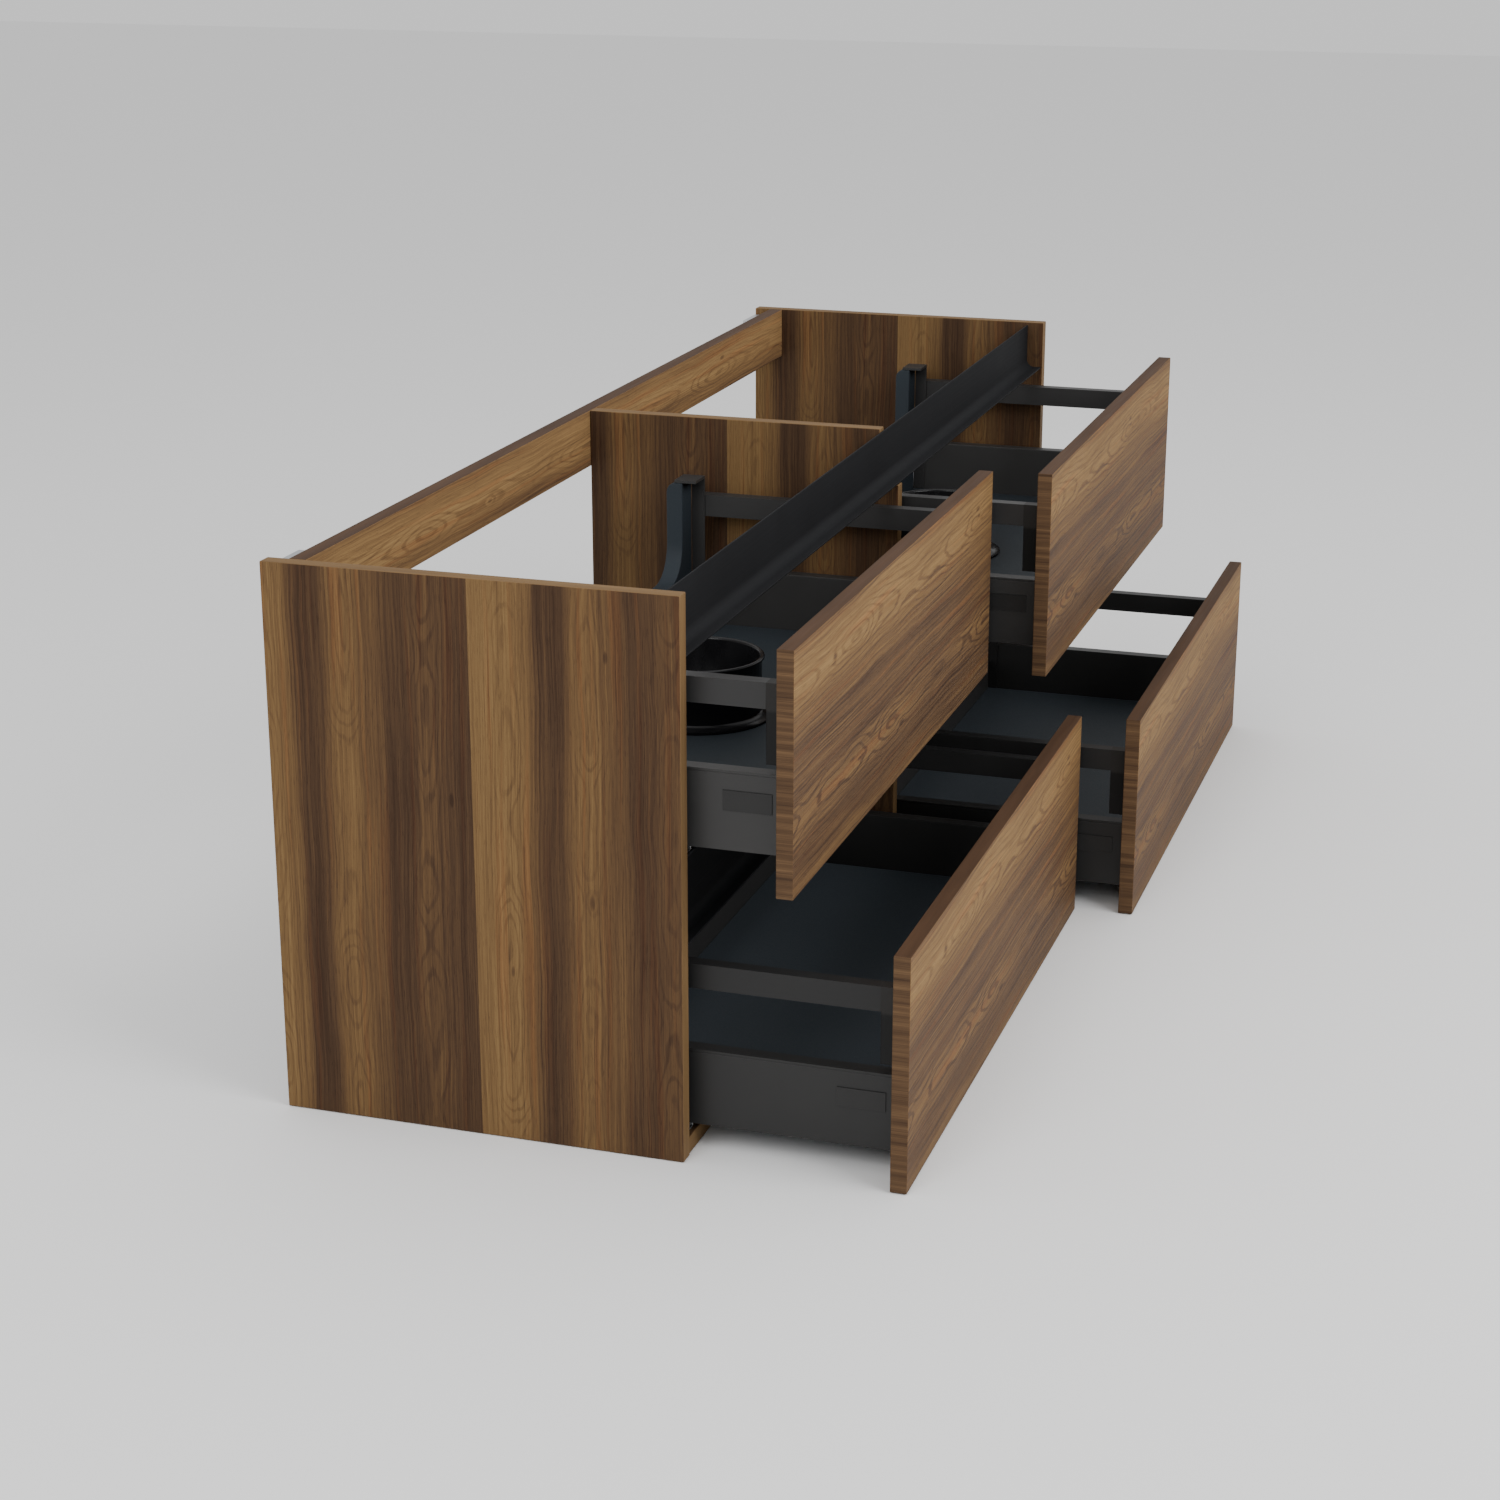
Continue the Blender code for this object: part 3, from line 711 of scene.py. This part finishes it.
def connector_moulding(name, rail_bottom):
    """Black plastic connector with painted sheen: painted grey where it closes the end of the rail, its own
    black on the leg below.
    """
    material, moulding = new_finish(name, roughness=0.5, specular=0.22)
    x, y, z = object_place(moulding)
    head = moulding.smooth(z, rail_bottom - LEG_BLEND, rail_bottom)
    grain = moulding.noise(moulding.vector(x, y, z), GRAIN_SCALE, 2.0, 0.6)
    connect(material, Base_Color=moulding.mix(head, CONNECTOR_LEG, CONNECTOR_HEAD_SHEEN), Bump=grain * GRAIN_RELIEF)
    return material


def fold_wall(wall, low, high, outward):
    """A lip along the top of the outer skin, and a crease below which the skin leans in."""
    skin = low.x if outward < 0 else high.x
    groove_top = high.z - LIP
    groove_bottom = groove_top - LIP_GROOVE
    for height in (low.z + CREASE, groove_bottom, groove_top):
        slice_across(wall, (0, 0, height), (0, 0, 1))
    choose(wall, lambda centre, _: abs(centre.x - skin) < TOUCH and groove_bottom < centre.z < groove_top)
    bpy.ops.mesh.extrude_region()
    bpy.ops.transform.translate(value=(-outward * GROOVE_DEPTH, 0, 0))
    choose(wall, lambda place, _: abs(place.x - skin) < SKIN_DEPTH and place.z < low.z + TOUCH, "VERT")
    bpy.ops.transform.translate(value=(-outward * CREASE_PULL, 0, 0))
    bpy.ops.object.mode_set(mode="OBJECT")


def plain_cap(name, low, high, outward):
    """A moulded cap on the wall's outer skin: a thin plate with a sunk middle."""
    skin = low.x if outward < 0 else high.x
    centre = (
        skin + outward * (CAP_THICKNESS / 2 + CAP_SEAT),
        low.y + CAP_START + CAP_LENGTH / 2,
        low.z + CAP_BOTTOM + CAP_HEIGHT / 2,
    )
    bpy.ops.object.select_all(action="DESELECT")
    bpy.ops.mesh.primitive_cube_add(size=1, location=centre, scale=(CAP_THICKNESS, CAP_LENGTH, CAP_HEIGHT))
    cap = bpy.context.object
    cap.name = name
    bpy.ops.object.transform_apply(location=True, rotation=True, scale=True)
    choose(cap, lambda _, normal: normal.x * outward > 0.9)
    bpy.ops.mesh.inset(thickness=CAP_RIM)
    bpy.ops.transform.translate(value=(-outward * CAP_THICKNESS * CAP_SINK, 0, 0))
    bpy.ops.object.mode_set(mode="OBJECT")
    soften(cap, CAP_EDGE)
    cap.data.materials.append(cap_grey)
    return cap


def end_block(gallery, low):
    """The moulded block that ties the rail to the drawer front, a little slimmer than the rail."""
    joint = low.y + BLOCK_LENGTH
    slice_across(gallery, (0, joint + TOUCH, 0), (0, 1, 0))
    choose(gallery, lambda centre, normal: centre.y < joint and abs(normal.x) > 0.9)
    bpy.ops.mesh.inset(thickness=BLOCK_BORDER)
    bpy.ops.object.mode_set(mode="OBJECT")
    middle = (low.y + joint) / 2
    for direction in (-1, 1):
        choose(gallery, lambda centre, normal: centre.y < joint - BLOCK_MIDDLE / 2
               and normal.x * direction > 0.9 and abs(centre.y - middle) < BLOCK_MIDDLE)
        bpy.ops.transform.translate(value=(-direction * BLOCK_RECESS, 0, 0))
        bpy.ops.object.mode_set(mode="OBJECT")


for row in ("upper", "lower"):
    rail_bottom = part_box(f"{row}_left_gallery_left")[0].z + LEG_HEIGHT
    connector_black = connector_moulding(f"connector_{row}", rail_bottom)
    for column in ("left", "right"):
        body = f"{row}_{column}_drawer"
        for side, outward in (("left", -1), ("right", 1)):
            node = f"{row}_{column}_side_{side}"
            low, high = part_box(node)
            wall = copy_node(node)
            fold_wall(wall, low, high, outward)
            soften(wall, WALL_EDGE, segments=1)
            wall.data.materials.append(anthracite[row])
            stand_for(wall, node, body)
            cap = plain_cap(f"{row}_{column}_cap_{side}", low, high, outward)
            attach(cap, body)
            node = f"{row}_{column}_gallery_{side}"
            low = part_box(node)[0]
            gallery = copy_node(node)
            end_block(gallery, low)
            soften(gallery, GALLERY_EDGE)
            gallery.data.materials.append(gallery_grey[row])
            gallery.data.materials.append(connector_black)
            for polygon in gallery.data.polygons:
                polygon.material_index = 1 if polygon.center.y < low.y + BLOCK_LENGTH else 0
            stand_for(gallery, node, body)


# ---------------------------------------------------------------- drawer floors and backs
# Blue-grey coated board for the floors and the U-shaped upper backs; the lower backs are a
# low steel strip. The lower floors carry painted light: they are the same board, coloured
# lighter for the light that the upper drawers keep from them.

BOARD_RELIEF = 0.00003
FLOOR_EDGE = 0.0003
BACK_EDGE = {"upper": 0.0012, "lower": 0.0004}

def coated_board(name, colour):
    """Board with a fine-textured coating."""
    material, coat = new_finish(name, specular=0.22)
    x, y, z = object_place(coat)
    point = coat.vector(x, y, z)
    texture = coat.noise(point, 900.0, 3.0, 0.65)
    patch = coat.noise(point, 6.0, 2.0)
    tint = coat.mix(patch, tuple(c * 0.92 for c in colour) + (1,), tuple(c * 1.08 for c in colour) + (1,))
    connect(material, Base_Color=tint, Roughness=coat.smooth(texture, 0.3, 0.7, 0.52, 0.66))
    connect(material, Bump=texture * BOARD_RELIEF)
    return material


blue_grey = coated_board("blue_grey_coating", (0.024, 0.0315, 0.039))
# The lower entry is painted light: the same board, coloured lighter for the lower row.
floor_grey = {
    "upper": coated_board("floor_upper", (0.0245, 0.0312, 0.0374)),
    "lower": coated_board("floor_lower_painted_light", (0.0450, 0.0550, 0.0650)),
}
for row in ("upper", "lower"):
    for column in ("left", "right"):
        body = f"{row}_{column}_drawer"
        node = f"{row}_{column}_floor"
        base = copy_node(node)
        soften(base, FLOOR_EDGE)
        base.data.materials.append(floor_grey[row])
        stand_for(base, node, body)
        node = f"{row}_{column}_back"
        back = copy_node(node)
        soften(back, BACK_EDGE[row])
        back.data.materials.append(blue_grey if row == "upper" else anthracite["upper"])
        stand_for(back, node, body)


# ---------------------------------------------------------------- cups
# A black moulded cup in the middle of each upper drawer, glossy, with a rolled rim and a
# flat foot on the drawer floor.

SMEAR_RELIEF = 0.00002
gloss_black, moulding = new_finish("gloss_black_moulding", specular=0.25)
cup_x, cup_y, cup_z = object_place(moulding)
cup_point = moulding.vector(cup_x, cup_y, cup_z)
smear = moulding.noise(cup_point, 30.0, 3.0)
connect(gloss_black, Roughness=moulding.smooth(smear, 0.3, 0.7, 0.20, 0.28))
connect(gloss_black, Base_Color=moulding.mix(smear, (0.005, 0.005, 0.006, 1), (0.008, 0.008, 0.009, 1)))
connect(gloss_black, Bump=smear * SMEAR_RELIEF)
for column in ("left", "right"):
    node = f"upper_{column}_cup"
    cup = copy_node(node)
    bpy.ops.object.shade_smooth_by_angle(angle=math.radians(SMOOTH_ANGLE))
    cup.data.materials.append(gloss_black)
    stand_for(cup, node, f"upper_{column}_drawer")
